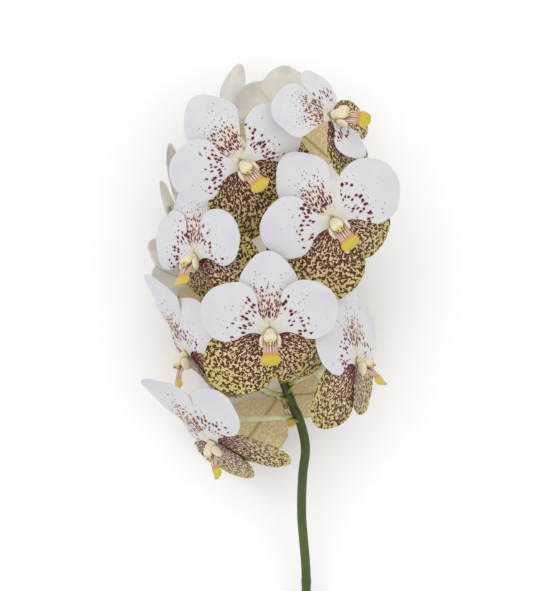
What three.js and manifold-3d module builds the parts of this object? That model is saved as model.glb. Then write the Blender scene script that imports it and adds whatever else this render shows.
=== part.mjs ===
// A cut spray of vanda orchid, laid on its back: a green flower stalk with fourteen blooms set all round it.
// Millimetres. +Y runs from the cut end to the tip of the spray and +Z is up, so the front blooms face up.
// The origin lies on the surface, under the middle of the whole stem with its blooms.
import * as THREE from "three";
import { mergeVertices } from "three/addons/utils/BufferGeometryUtils.js";
import Module from "manifold-3d";

const wasm = await Module();
wasm.setup();

// Driving dimensions
const STALK_RADIUS = 3.1;
const STALK_TIP_RADIUS = 1.7;
const TAPER_START = 0.45; // the share of the stalk's length below its taper
const BLADE_THICKNESS = 0.9; // of a sepal or petal
const JOINT_GAP = 0.3; // between pieces that meet
const HUB_RADIUS = 4.2; // the disc where sepals or petals join
const HUB_THICKNESS = 1.1;
const BACK_HUB = -HUB_THICKNESS - JOINT_GAP; // the height of the lateral sepals' disc, behind the petals' one
const CLAW_START = 2; // from the flower's axis to where a blade starts, inside the disc
const LEFT_WAVE_PHASE = 2.1; // by which the ripples of a blade's left margin run ahead, in radians
const OVARY_RADIUS = 2.4;
const PEDICEL_RADIUS = 1.5;
const PEDICEL_GAP = 0.5; // between a pedicel's flat end and the round of the stalk
const BRACT_LENGTH = 6.5; // of the small leaf below each pedicel
const BRACT_ROOT = [2.6, 0.9]; // its half width and half thickness where it leaves the stalk
const BRACT_TIP = [0.6, 0.35];

// How fine the faceted solids are
const BLADE_ACROSS = 4;
const BLADE_ALONG = 5;
const STALK_SIDES = 8;
const STALK_RINGS = 22;
const PEDICEL_SIDES = 5;
const PEDICEL_RINGS = 3;

const COLOURS = {
  stalk: { color: 0x4f6420, roughness: 0.5 },
  pedicel: { color: 0xc9cf9c, roughness: 0.5 },
  white: { color: 0xe9e9e8, roughness: 0.55 },
  speckled: { color: 0xa8925a, roughness: 0.55 },
  lip: { color: 0xd9b64a, roughness: 0.45 },
};

// The stalk's centre line, from the cut end, which lies on the surface, up into the spray
const STALK_LINE = [
  [22.4, -204.6, 3.1],
  [24.6, -140, 17],
  [21.5, -96, 30],
  [22.0, -70, 38],
  [23.8, -50, 44],
  [20.5, -34, 49],
  [14.5, -20, 53],
  [8.8, -4, 57],
  [5.5, 15, 60],
  [2.3, 48, 62],
  [0.3, 80, 62],
  [-1.6, 113, 62],
  [-3.6, 145, 60],
  [-4.2, 158, 59],
].map((point) => new THREE.Vector3(...point));

// One blade each. outline: the share of its width at even steps from claw to tip. tipRound: how far the tip's
// corners draw back, as a share of its length. points: the direction it runs in, in the flower's plane, 0 for
// the viewer's right. tilt: the angle at which it leaves that plane. bend: the turn from there to the tip.
// Angles are in degrees, and a plus turns towards the viewer. cup: how far its margins stand in front of its
// middle at the tip. wave: how far they ripple, and waves: how often. start: the height of its claw.
const DORSAL_SEPAL = {
  length: 52, width: 38, outline: [0.24, 0.42, 0.74, 1, 0.96, 0.5], tipRound: 0.18,
  points: 90, tilt: -4, bend: -14, cup: -3, wave: 0.8, waves: 1.5, start: 0,
};
const PETAL = {
  length: 46, width: 41, outline: [0.2, 0.34, 0.88, 1, 0.94, 0.62], tipRound: 0.22,
  points: 29, tilt: 5, bend: -10, cup: -2, wave: 1, waves: 1.5, start: 0.5,
};
const LATERAL_SEPAL = {
  length: 46, width: 47, outline: [0.18, 0.6, 0.93, 1, 0.88, 0.5], tipRound: 0.22,
  points: -44, tilt: -6, bend: 2, cup: 1, wave: 1.2, waves: 1.5, start: BACK_HUB,
};

// The blooms. at: the flower's centre. faces: the compass direction in which it looks, 0 for +X and 90 for
// the stem's tip, and how far above the surface, in degrees. roll: its turn about that line. size: its blades
// against a full bloom's. node: the y where it leaves the stalk. settled: lowered to rest on the surface.
const BLOOMS = [
  {
    at: [0.4, 28, 104], faces: [-90, 72], roll: 2, size: 1, node: -2,
    dorsal: { length: 50 },
    lowLeft: { points: 227, length: 52, width: 48 },
    lowRight: { points: -52, length: 48, width: 41, tilt: -9, bend: -30 },
  },
  {
    at: [-17.6, 134.9, 104], faces: [-40, 72], roll: 38, size: 1, node: 112,
    dorsal: { length: 51, tilt: -2, bend: -24 },
    right: { points: 9 },
    lowLeft: { points: 238, length: 52, width: 46, tilt: -9, bend: -4 },
  },
  {
    at: [41, 98.4, 105], faces: [-60, 74], roll: 38, size: 1, node: 78,
    dorsal: { length: 51, tilt: -2, bend: -26 },
    right: { points: 2, length: 49, width: 45, tilt: 0, bend: -16 },
    lowLeft: { points: 227, length: 54, width: 50 },
    lowRight: { points: -56, length: 44, width: 40, tilt: -8, bend: -34 },
  },
  {
    at: [-48.2, 75.6, 86], faces: [187, 48], roll: 8, size: 1, node: 55,
    left: { points: 146, length: 40, tilt: 0, bend: -16 },
    right: { points: 21, length: 42, width: 38 },
    lowLeft: { points: 268, length: 32, width: 32, tilt: -9, bend: -46 },
    lowRight: { points: -16, length: 43, width: 42, bend: -34 },
  },
  {
    at: [-54.2, 12.9, 61], faces: [212, 20], roll: 2, size: 1, node: -14,
    dorsal: { length: 57, tilt: 2, bend: -6, cup: -10 },
    left: { points: 134, width: 34, tilt: 0, bend: -46 }, right: { points: 38, tilt: 2, bend: -40 },
    lowLeft: { tilt: -9, bend: -12 }, lowRight: { points: -52, tilt: -14, bend: -6 },
  },
  {
    at: [-37.4, -45.5, 53], faces: [235, 26], roll: 20, size: 1, node: -28,
    dorsal: { length: 61, tilt: 2, bend: -6, cup: -10 },
    left: { points: 134, width: 34, tilt: 0, bend: -46 }, right: { points: 34, tilt: 2, bend: -40 },
    lowRight: { points: -56, length: 52, width: 34, tilt: -13 },
  },
  {
    at: [57, 7.8, 66], faces: [5, 26], roll: 4, size: 1, node: -9,
    dorsal: { tilt: 4, bend: -4, cup: -9 },
    left: { length: 44, bend: -36 }, right: { points: 38, length: 44, width: 37, tilt: 2 },
    lowLeft: { length: 52, width: 44, tilt: -9, bend: -20 }, lowRight: { length: 40, tilt: -9 },
  },
  {
    at: [39.7, 166.4, 98], faces: [20, 38], roll: 79, size: 1, node: 142, lipTurn: -18,
    dorsal: { length: 42, tilt: 2, bend: -58 },
    left: { points: 217, length: 32, width: 26, tilt: 2, bend: 24 },
    right: { points: 13, length: 34, width: 30, tilt: -2, bend: -34 },
    lowLeft: { points: 215, length: 50, width: 40, bend: 12 },
    lowRight: { points: -82, length: 42, width: 28 },
  },
  {
    at: [-33.5, 161.8, 48], faces: [170, -25], roll: 0, size: 0.9, node: 137, settled: true,
    dorsal: { length: 49 }, right: { points: 6, tilt: 4 },
  },
  {
    at: [-60, 108, 50], faces: [200, -15], roll: 0, size: 0.85, node: 92, settled: true,
    dorsal: { length: 51 }, right: { points: 7, length: 38, tilt: 4 }, lowRight: { length: 42, width: 40 },
  },
  { at: [24.3, 71.1, 32], faces: [-20, -65], roll: 0, size: 0.95, node: 40, settled: true },
  {
    at: [6.3, -18.3, 24], faces: [-80, -70], roll: -38, size: 0.9, node: -18, settled: true,
    dorsal: { length: 50 }, right: { points: 45 },
    lowLeft: { points: 214, length: 33, width: 36 }, lowRight: { points: -19, length: 52, width: 48 },
  },
  {
    at: [12, 168.5, 52], faces: [85, -55], roll: 0, size: 0.88, node: 152, settled: true,
    left: { points: 138, length: 42 }, right: { points: 36, length: 42 },
  },
  {
    at: [-51.6, 60, 44], faces: [215, -35], roll: -36, size: 0.9, node: 30, settled: true,
    dorsal: { length: 42, tilt: 3, bend: 6 },
    left: { points: 150 }, right: { points: 32, length: 42, width: 35 },
    lowRight: { length: 44 },
  },
];

// The column and the lip, in the flower's own frame: x to the viewer's right, y up and z towards the viewer
const COLUMN_LINE = [[0, -0.5, 1.4], [0, -0.6, 5], [0, -2, 9], [0, -4.2, 11]];
const COLUMN_GIRTH = [[3, 3], [2.8, 2.8], [3.1, 2.9], [2, 1.8]];
const LIP_LINE = [
  [0, -3.2, 2.1], [0, -5.2, 6], [0, -8.4, 11], [0, -12.5, 14.5], [0, -16, 17.5], [0, -17, 20],
];
const LIP_GIRTH = [[3.4, 1.8], [4.6, 2.6], [3.4, 1.8], [4.2, 1.3], [6.6, 1.1], [5.2, 0.5]];
const SIDE_LOBE = { at: [4.6, -4.6, 6], size: [1.2, 3.2, 3.4] };
const SPUR_LINE = [[0, -5.5, 5.5], [0, -8.5, 3.8], [0, -9.6, 2.2]];
const SPUR_GIRTH = [[2.4, 2.4], [1.8, 1.8], [0.9, 0.9]];

const UP = new THREE.Vector3(0, 0, 1);
const radians = THREE.MathUtils.degToRad;
const vector = (point) => new THREE.Vector3(...point);

// A value read from a list of shares at even steps, smoothed between them
function shareAt(shares, t) {
  const place = THREE.MathUtils.clamp(t, 0, 1) * (shares.length - 1);
  const i = Math.min(Math.floor(place), shares.length - 2);
  const f = place - i;
  const from = shares[i];
  const to = shares[i + 1];
  const before = shares[i - 1] ?? from;
  const after = shares[i + 2] ?? to;
  const cubic = 3 * (from - to) + after - before;
  const square = 2 * before - 5 * from + 4 * to - after;
  return from + 0.5 * f * (to - before + f * (square + f * cubic));
}

// A closed geometry as a solid that can be joined to others
function solidOf(geometry) {
  geometry.deleteAttribute("normal");
  geometry.deleteAttribute("uv");
  const merged = mergeVertices(geometry, 1e-3);
  return new wasm.Manifold(
    new wasm.Mesh({
      numProp: 3,
      vertProperties: new Float32Array(merged.attributes.position.array),
      triVerts: new Uint32Array(merged.index.array),
    }),
  );
}

function geometryOf(solid) {
  const mesh = solid.getMesh();
  return new THREE.BufferGeometry()
    .setAttribute("position", new THREE.BufferAttribute(mesh.vertProperties, mesh.numProp))
    .setIndex(new THREE.BufferAttribute(mesh.triVerts, 1));
}

// A point of a blade at u, from 0 at the claw to 1 at the tip, and v, from -1 to 1 across it, at a depth in
// front of its middle surface
function bladePoint(blade, u, v, depth) {
  const along = blade.length * u * (1 - blade.tipRound * v * v * u * u);
  const share = along / blade.length;
  const half = (blade.width / 2) * shareAt(blade.outline, u);
  const bend = radians(blade.bend || 0.01);
  const tilt = radians(blade.tilt);
  const turned = tilt + bend * share;
  const arc = blade.length / bend;
  const phase = 2 * Math.PI * blade.waves * u + (v < 0 ? LEFT_WAVE_PHASE : 0);
  const margin = Math.abs(v) ** 3 * blade.wave * Math.sin(phase) * u;
  const rise = blade.cup * v * v * u + margin + depth;
  return new THREE.Vector3(
    half * v,
    CLAW_START + arc * (Math.sin(turned) - Math.sin(tilt)) - rise * Math.sin(turned),
    arc * (Math.cos(tilt) - Math.cos(turned)) + rise * Math.cos(turned) + blade.start,
  );
}

// A blade as a closed sheet: a plane's grid laid on its front, the same grid on its back, and a rim between
function bladeSolid(blade) {
  const plane = new THREE.PlaneGeometry(2, 1, BLADE_ACROSS, BLADE_ALONG);
  const grid = plane.attributes.position;
  const front = [];
  const back = [];
  for (let i = 0; i < grid.count; i++) {
    const u = grid.getY(i) + 0.5;
    front.push(bladePoint(blade, u, grid.getX(i), BLADE_THICKNESS / 2));
    back.push(bladePoint(blade, u, grid.getX(i), -BLADE_THICKNESS / 2));
  }
  const faces = Array.from(plane.index.array);
  const row = BLADE_ACROSS + 1;
  const last = BLADE_ALONG * row;
  const border = [
    ...Array.from({ length: BLADE_ACROSS }, (_, i) => i),
    ...Array.from({ length: BLADE_ALONG }, (_, i) => i * row + BLADE_ACROSS),
    ...Array.from({ length: BLADE_ACROSS }, (_, i) => last + BLADE_ACROSS - i),
    ...Array.from({ length: BLADE_ALONG }, (_, i) => last - i * row),
  ];
  const behind = grid.count;
  for (let i = 0; i < plane.index.count; i += 3) {
    const [a, b, c] = faces.slice(i, i + 3);
    faces.push(c + behind, b + behind, a + behind);
  }
  border.forEach((from, i) => {
    const to = border[(i + 1) % border.length];
    faces.push(from, to, to + behind, from, to + behind, from + behind);
  });
  const sheet = new THREE.BufferGeometry().setFromPoints([...front, ...back]);
  sheet.setIndex(faces);
  return solidOf(sheet);
}

// A blade turned in the flower's plane to where it points
function placedBlade(form, change, size) {
  const blade = { ...form, ...change };
  blade.length *= size;
  blade.width *= size;
  return bladeSolid(blade).rotate([0, 0, blade.points - 90]);
}

// A round or flattened rod along a curve: a cylinder whose rings are set along it. girth gives each ring's
// half width, along sideways, and its half depth.
function rodSolid(curve, girth, sides, rings, sideways) {
  const rod = new THREE.CylinderGeometry(1, 1, 1, sides, rings);
  const place = rod.attributes.position;
  for (let i = 0; i < place.count; i++) {
    const t = place.getY(i) + 0.5;
    const along = curve.getTangentAt(t);
    const over = new THREE.Vector3().crossVectors(sideways, along).normalize();
    const side = new THREE.Vector3().crossVectors(along, over);
    const [wide, deep] = girth(t);
    const point = curve
      .getPointAt(t)
      .addScaledVector(side, place.getX(i) * wide)
      .addScaledVector(over, place.getZ(i) * deep);
    place.setXYZ(i, point.x, point.y, point.z);
  }
  return solidOf(rod);
}

function girthAlong(list) {
  return (t) => [0, 1].map((k) => shareAt(list.map((pair) => pair[k]), t));
}

// The disc at the middle of a flower, with its middle at a height in the flower
function hubSolid(middle) {
  const disc = new THREE.CylinderGeometry(HUB_RADIUS, HUB_RADIUS, HUB_THICKNESS, 8);
  disc.rotateX(Math.PI / 2).translate(0, 0, middle);
  return solidOf(disc);
}

function union(solids) {
  return solids.reduce((whole, solid) => whole.add(solid));
}

// The dorsal sepal and the two petals, grown together at the front disc
function whiteSolid(bloom) {
  const { dorsal = {}, left = {}, right = {} } = bloom;
  return union([
    hubSolid(0),
    placedBlade(DORSAL_SEPAL, dorsal, bloom.size),
    placedBlade(PETAL, { points: 180 - PETAL.points, ...left }, bloom.size),
    placedBlade(PETAL, right, bloom.size),
  ]);
}

// The two lateral sepals, grown together at the disc behind that one
function lateralSolid(bloom) {
  const { lowLeft = {}, lowRight = {} } = bloom;
  return union([
    hubSolid(BACK_HUB),
    placedBlade(LATERAL_SEPAL, { points: 180 - LATERAL_SEPAL.points, ...lowLeft }, bloom.size),
    placedBlade(LATERAL_SEPAL, lowRight, bloom.size),
  ]);
}

// The column, the lip with its side lobes, and the short spur below it
function lipSolid() {
  const right = new THREE.Vector3(1, 0, 0);
  const curve = (line) => new THREE.CatmullRomCurve3(line.map(vector));
  const lobe = (side) => {
    const ball = new THREE.SphereGeometry(1, 5, 4);
    ball.scale(...SIDE_LOBE.size).translate(side * SIDE_LOBE.at[0], SIDE_LOBE.at[1], SIDE_LOBE.at[2]);
    return solidOf(ball);
  };
  return union([
    rodSolid(curve(COLUMN_LINE), girthAlong(COLUMN_GIRTH), 5, 3, right),
    rodSolid(curve(LIP_LINE), girthAlong(LIP_GIRTH), 6, 4, right),
    rodSolid(curve(SPUR_LINE), girthAlong(SPUR_GIRTH), 5, 1, right),
    lobe(1),
    lobe(-1),
  ]);
}

const stalkCurve = new THREE.CatmullRomCurve3(STALK_LINE);

// The stalk tapers over its upper part, among the blooms
function stalkRadius(t) {
  const tapered = Math.max(0, (t - TAPER_START) / (1 - TAPER_START));
  return THREE.MathUtils.lerp(STALK_RADIUS, STALK_TIP_RADIUS, tapered);
}

// The share of the stalk's length at which it reaches y
function stalkAt(y) {
  let low = 0;
  let high = 1;
  for (let step = 0; step < 30; step++) {
    const middle = (low + high) / 2;
    if (stalkCurve.getPointAt(middle).y < y) low = middle;
    else high = middle;
  }
  return low;
}

// The turn that carries the flower's own frame to where the bloom looks
function bloomFrame(bloom) {
  const [turn, lift] = bloom.faces.map(radians);
  const facing = new THREE.Vector3(Math.cos(lift), 0, Math.sin(lift)).applyAxisAngle(UP, turn);
  const up = new THREE.Vector3(0, 1, 0).projectOnPlane(facing).normalize();
  up.applyAxisAngle(facing, radians(bloom.roll));
  const right = new THREE.Vector3().crossVectors(up, facing);
  return new THREE.Matrix4().makeBasis(right, up, facing).setPosition(...bloom.at);
}

function mesh(name, solid, colour) {
  const made = new THREE.Mesh(geometryOf(solid), new THREE.MeshStandardMaterial({ ...colour, metalness: 0 }));
  made.name = name;
  return made;
}

// The pedicel leaves the stalk outwards and a little towards its tip, and swells into the ovary behind the
// flower. Its bract grows on the stalk, on the side of the cut end.
function pedicelSolid(bloom, frame) {
  const t = stalkAt(bloom.node);
  const root = stalkCurve.getPointAt(t);
  const facing = new THREE.Vector3().setFromMatrixColumn(frame, 2);
  const behind = BACK_HUB - HUB_THICKNESS / 2 - 2 * JOINT_GAP;
  const end = new THREE.Vector3().setFromMatrixPosition(frame).addScaledVector(facing, behind);
  const stalk = stalkCurve.getTangentAt(t);
  const outward = end.clone().sub(root).projectOnPlane(stalk).normalize();
  const start = root.clone().addScaledVector(outward, stalkRadius(t) + PEDICEL_GAP);
  const reach = end.distanceTo(start);
  const curve = new THREE.CubicBezierCurve3(
    start,
    start.clone().addScaledVector(outward, reach * 0.3).addScaledVector(stalk, reach * 0.08),
    end.clone().addScaledVector(facing, -reach * 0.4),
    end,
  );
  const girth = (s) => {
    const radius = THREE.MathUtils.lerp(PEDICEL_RADIUS, OVARY_RADIUS, s);
    return [radius, radius];
  };
  const pedicel = rodSolid(curve, girth, PEDICEL_SIDES, PEDICEL_RINGS, stalk);
  return { pedicel, bract: bractSolid(root, outward, stalk) };
}

function bractSolid(root, outward, stalk) {
  const point = (out, along) => root.clone().addScaledVector(outward, out).addScaledVector(stalk, along);
  const line = [point(0.8, -4.6), point(3.2, -4), point(1.6 + BRACT_LENGTH, -2.6)];
  const girth = (s) => BRACT_ROOT.map((wide, k) => THREE.MathUtils.lerp(wide, BRACT_TIP[k], s));
  const sideways = new THREE.Vector3().crossVectors(outward, stalk);
  return rodSolid(new THREE.CatmullRomCurve3(line), girth, 4, 1, sideways);
}

function stalkSolid() {
  const girth = (t) => [stalkRadius(t), stalkRadius(t)];
  return rodSolid(stalkCurve, girth, STALK_SIDES, STALK_RINGS, new THREE.Vector3(1, 0, 0));
}

const spray = new THREE.Group();
const stalkParts = [stalkSolid()];

BLOOMS.forEach((bloom, index) => {
  const name = "flower_" + String(index + 1).padStart(2, "0");
  const head = new THREE.Group();
  head.name = name;
  head.applyMatrix4(bloomFrame(bloom));
  head.add(mesh(name + "_petals", whiteSolid(bloom), COLOURS.white));
  head.add(mesh(name + "_lateral_sepals", lateralSolid(bloom), COLOURS.speckled));
  head.add(mesh(name + "_lip_and_column", lipSolid().rotate([0, 0, bloom.lipTurn ?? 0]), COLOURS.lip));
  if (bloom.settled) head.position.z -= new THREE.Box3().setFromObject(head, true).min.z;
  head.updateMatrix();
  const { pedicel, bract } = pedicelSolid(bloom, head.matrix);
  stalkParts.push(bract);
  spray.add(head, mesh(name + "_pedicel", pedicel, COLOURS.pedicel));
});
spray.add(mesh("stem", union(stalkParts), COLOURS.stalk));

export default spray;
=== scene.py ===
import math

import bmesh
import bpy
from mathutils import Matrix, Quaternion, Vector, noise


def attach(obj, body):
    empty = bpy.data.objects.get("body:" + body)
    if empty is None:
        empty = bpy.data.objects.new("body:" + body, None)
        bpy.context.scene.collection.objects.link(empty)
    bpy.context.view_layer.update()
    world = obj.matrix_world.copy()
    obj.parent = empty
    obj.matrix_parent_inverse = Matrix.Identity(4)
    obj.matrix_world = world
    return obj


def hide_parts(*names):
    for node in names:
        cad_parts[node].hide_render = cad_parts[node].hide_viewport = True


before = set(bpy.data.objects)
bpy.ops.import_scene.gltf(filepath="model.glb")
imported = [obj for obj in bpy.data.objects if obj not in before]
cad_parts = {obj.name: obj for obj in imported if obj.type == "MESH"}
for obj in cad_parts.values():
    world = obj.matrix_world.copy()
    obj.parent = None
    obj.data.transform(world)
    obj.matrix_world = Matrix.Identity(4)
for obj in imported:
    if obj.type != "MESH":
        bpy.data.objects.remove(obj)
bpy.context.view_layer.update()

# A cut spray of vanda orchid, laid on its back on a pale table and seen from straight above.
# Lengths are in millimetres here, and MM turns them to the frame's metres as each mesh is finished.
MM = 0.001

# The view: a camera over the spray, square to the table, as a product photograph is taken.
# The tip of the stem points up the picture, and the picture's lower edge cuts the stalk.
PICTURE = (550, 591)
MM_PER_PIXEL = 0.65
CAMERA_AT = (3.575, 50.7, 1680)
FOCUS_HEIGHT = 80  # of the blooms that face the camera
SENSOR = 36

camera_data = bpy.data.cameras.new("camera")
camera = bpy.data.objects.new("camera", camera_data)
bpy.context.scene.collection.objects.link(camera)
camera.location = Vector(CAMERA_AT) * MM
camera_data.sensor_fit = "AUTO"
camera_data.sensor_width = SENSOR
seen_height = PICTURE[1] * MM_PER_PIXEL
camera_data.lens = SENSOR * (CAMERA_AT[2] - FOCUS_HEIGHT) / seen_height
camera_data.clip_end = 20
bpy.context.scene.camera = camera


def linear(colour):
    """An sRGB hex colour as linear red, green, blue and alpha."""
    shares = [int(colour[i : i + 2], 16) / 255 for i in (1, 3, 5)]
    return (*(c / 12.92 if c <= 0.04045 else ((c + 0.055) / 1.055) ** 2.4 for c in shares), 1)


def fill(tree, node, inputs):
    """Sets or links a node's inputs, given by name or in order. A node as a value links its live output."""
    pairs = inputs.items() if isinstance(inputs, dict) else enumerate(inputs)
    for key, value in pairs:
        if isinstance(value, bpy.types.Node):
            value = next(output for output in value.outputs if output.enabled)
        if isinstance(value, bpy.types.NodeSocket):
            tree.links.new(value, node.inputs[key])
        else:
            node.inputs[key].default_value = value


def add(tree, kind, settings=None, inputs=()):
    """Adds a node with its settings and links."""
    made = tree.nodes.new(kind)
    for key, value in (settings or {}).items():
        setattr(made, key, value)
    fill(tree, made, inputs)
    return made


# Kinds of node and settings that recur. Inputs 0, 6 and 7 of MIX are the share and the two colours.
MATH = "ShaderNodeMath"
MAP_RANGE = "ShaderNodeMapRange"
MIX = "ShaderNodeMix"
NOISE = "ShaderNodeTexNoise"
FLAT = {"noise_dimensions": "2D"}
SMOOTH = {"interpolation_type": "SMOOTHSTEP"}
COLOUR = {"data_type": "RGBA"}
ABSOLUTE, LESS_THAN, MAXIMUM, MULTIPLY, MULTIPLY_ADD, SINE, SUBTRACT = (
    {"operation": name}
    for name in ("ABSOLUTE", "LESS_THAN", "MAXIMUM", "MULTIPLY", "MULTIPLY_ADD", "SINE", "SUBTRACT")
)


def new_material(name):
    """An empty material and its tree, with the surface's shader and output in place."""
    material = bpy.data.materials.new(name)
    material.use_nodes = True
    tree = material.node_tree
    tree.nodes.clear()
    shader = add(tree, "ShaderNodeBsdfPrincipled")
    add(tree, "ShaderNodeOutputMaterial", inputs={"Surface": shader.outputs[0]})
    return material, tree, shader


# Studio light: a bright even surround and two large soft boxes beside the camera.
# The soft box on the left is the stronger, so that the blades shade each other a little.
world = bpy.data.worlds.new("studio")
bpy.context.scene.world = world
world.use_nodes = True
world.node_tree.nodes["Background"].inputs["Color"].default_value = linear("#FFFFFF")
world.node_tree.nodes["Background"].inputs["Strength"].default_value = 1.0
SOFT_BOXES = (
    ("soft_box_left", (-700, 900, 1500), 1100, 5),
    ("soft_box_right", (900, -200, 1300), 900, 1.5),
)
for name, at, side, watts in SOFT_BOXES:
    light_data = bpy.data.lights.new(name, "AREA")
    light_data.size = side * MM
    light_data.energy = watts
    light = bpy.data.objects.new(name, light_data)
    bpy.context.scene.collection.objects.link(light)
    light.location = Vector(at) * MM
    light.rotation_euler = (Vector((0, 50, 50)) - Vector(at)).to_track_quat("-Z", "Y").to_euler()
bpy.context.scene.view_settings.view_transform = "Standard"


# The table: a plain white sheet of card, matt, much wider than the view.
# It lies just under the lowest blooms.
TABLE_SIDE = 6000
table_mesh = bpy.data.meshes.new("table")
bm = bmesh.new()
bmesh.ops.create_grid(bm, x_segments=1, y_segments=1, size=TABLE_SIDE / 2 * MM)
bmesh.ops.translate(bm, verts=bm.verts, vec=(0, 0, -0.8 * MM))
bm.to_mesh(table_mesh)
bm.free()
table = bpy.data.objects.new("table", table_mesh)
bpy.context.scene.collection.objects.link(table)
card, card_tree, card_shader = new_material("matt_white_card")
card_shader.inputs["Base Color"].default_value = linear("#FBFBFB")
card_shader.inputs["Roughness"].default_value = 0.9
card_shader.inputs["Specular IOR Level"].default_value = 0.1
table_mesh.materials.append(card)


# The plan of the spray. Each bloom's at is its centre, faces the compass direction in which it looks
# and how far above the table, and roll its turn about that line, in degrees. size scales its blades,
# and node is the y at which it leaves the stalk. Each blade's own changes stand beside it.
BLOOMS = [
    {
        "at": (0.4, 28, 104), "faces": (-90, 72), "roll": 2, "size": 1, "node": -2,
        "dorsal": {"length": 50},
        "low_left": {"points": 227, "length": 52, "width": 48},
        "low_right": {"points": -52, "length": 48, "width": 41, "tilt": -9, "bend": -30},
    },
    {
        "at": (-17.6, 134.9, 104), "faces": (-40, 72), "roll": 38, "size": 1, "node": 112,
        "dorsal": {"length": 51, "tilt": -2, "bend": -24},
        "right": {"points": 9},
        "low_left": {"points": 238, "length": 52, "width": 46, "tilt": -9, "bend": -4},
    },
    {
        "at": (41, 98.4, 105), "faces": (-60, 74), "roll": 38, "size": 1, "node": 78,
        "dorsal": {"length": 51, "tilt": -2, "bend": -26},
        "right": {"points": 2, "length": 49, "width": 45, "tilt": 0, "bend": -16},
        "low_left": {"points": 227, "length": 54, "width": 50},
        "low_right": {"points": -56, "length": 44, "width": 40, "tilt": -8, "bend": -34},
    },
    {
        "at": (-48.2, 75.6, 86), "faces": (187, 48), "roll": 8, "size": 1, "node": 55,
        "left": {"points": 146, "length": 40, "tilt": 0, "bend": -16},
        "right": {"points": 21, "length": 42, "width": 38},
        "low_left": {"points": 268, "length": 32, "width": 32, "tilt": -9, "bend": -46},
        "low_right": {"points": -16, "length": 43, "width": 42, "bend": -34},
    },
    {
        "at": (-54.2, 12.9, 61), "faces": (212, 20), "roll": 2, "size": 1, "node": -14,
        "dorsal": {"length": 57, "tilt": 2, "bend": -6, "cup": -10},
        "left": {"points": 134, "width": 34, "tilt": 0, "bend": -46},
        "right": {"points": 38, "tilt": 2, "bend": -40},
        "low_left": {"tilt": -9, "bend": -12},
        "low_right": {"points": -52, "tilt": -14, "bend": -6},
    },
    {
        "at": (-37.4, -45.5, 53), "faces": (235, 26), "roll": 20, "size": 1, "node": -28,
        "dorsal": {"length": 61, "tilt": 2, "bend": -6, "cup": -10},
        "left": {"points": 134, "width": 34, "tilt": 0, "bend": -46},
        "right": {"points": 34, "tilt": 2, "bend": -40},
        "low_right": {"points": -56, "length": 52, "width": 34, "tilt": -13},
    },
    {
        "at": (57, 7.8, 66), "faces": (5, 26), "roll": 4, "size": 1, "node": -9,
        "dorsal": {"tilt": 4, "bend": -4, "cup": -9},
        "left": {"length": 44, "bend": -36},
        "right": {"points": 38, "length": 44, "width": 37, "tilt": 2},
        "low_left": {"length": 52, "width": 44, "tilt": -9, "bend": -20},
        "low_right": {"length": 40, "tilt": -9},
    },
    {
        "at": (39.7, 166.4, 98), "faces": (20, 38), "roll": 79, "size": 1, "node": 142, "lip_turn": -18,
        "dorsal": {"length": 42, "tilt": 2, "bend": -58},
        "left": {"points": 217, "length": 32, "width": 26, "tilt": 2, "bend": 24},
        "right": {"points": 13, "length": 34, "width": 30, "tilt": -2, "bend": -34},
        "low_left": {"points": 215, "length": 50, "width": 40, "bend": 12},
        "low_right": {"points": -82, "length": 42, "width": 28},
    },
    {
        "at": (-33.5, 161.8, 34.2), "faces": (170, -25), "roll": 0, "size": 0.9, "node": 137,
        "dorsal": {"length": 49},
        "right": {"points": 6, "tilt": 4},
    },
    {
        "at": (-60, 108, 36.7), "faces": (200, -15), "roll": 0, "size": 0.85, "node": 92,
        "dorsal": {"length": 51},
        "right": {"points": 7, "length": 38, "tilt": 4},
        "low_right": {"length": 42, "width": 40},
    },
    {"at": (24.3, 71.1, 19.8), "faces": (-20, -65), "roll": 0, "size": 0.95, "node": 40},
    {
        "at": (6.3, -18.3, 14.5), "faces": (-80, -70), "roll": -38, "size": 0.9, "node": -18,
        "dorsal": {"length": 50},
        "right": {"points": 45},
        "low_left": {"points": 214, "length": 33, "width": 36},
        "low_right": {"points": -19, "length": 52, "width": 48},
    },
    {
        "at": (12, 168.5, 26.4), "faces": (85, -55), "roll": 0, "size": 0.88, "node": 152,
        "left": {"points": 138, "length": 42},
        "right": {"points": 36, "length": 42},
    },
    {
        "at": (-51.6, 60, 28.9), "faces": (215, -35), "roll": -36, "size": 0.9, "node": 30,
        "dorsal": {"length": 42, "tilt": 3, "bend": 6},
        "left": {"points": 150},
        "right": {"points": 32, "length": 42, "width": 35},
        "low_right": {"length": 44},
    },
]
BACK_PLANE = -1.4  # of the lateral sepals, behind the petals
HUB_RADIUS = 4.2


def bloom_matrix(bloom):
    """The turn and place that carry the flower's own frame to where the bloom is."""
    turn, lift = (math.radians(angle) for angle in bloom["faces"])
    facing = Vector((math.cos(lift) * math.cos(turn), math.cos(lift) * math.sin(turn), math.sin(lift)))
    up = Vector((0, 1, 0))
    up = (up - facing * up.dot(facing)).normalized()
    up.rotate(Quaternion(facing, math.radians(bloom["roll"])))
    matrix = Matrix((up.cross(facing), up, facing)).transposed().to_4x4()
    matrix.translation = bloom["at"]
    return matrix


def bloom_name(index):
    return f"flower_{index + 1:02d}"


def finished_piece(name, bm, materials, node):
    """Turns a bmesh in millimetres into a piece that rides on the spray and stands for its node."""
    bmesh.ops.scale(bm, vec=(MM, MM, MM), verts=bm.verts)
    for face in bm.faces:
        face.smooth = True
    mesh = bpy.data.meshes.new(name)
    bm.to_mesh(mesh)
    bm.free()
    for material in materials:
        mesh.materials.append(material)
    piece = bpy.data.objects.new(name, mesh)
    bpy.context.scene.collection.objects.link(piece)
    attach(piece, "root")
    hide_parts(node)
    return piece


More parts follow.
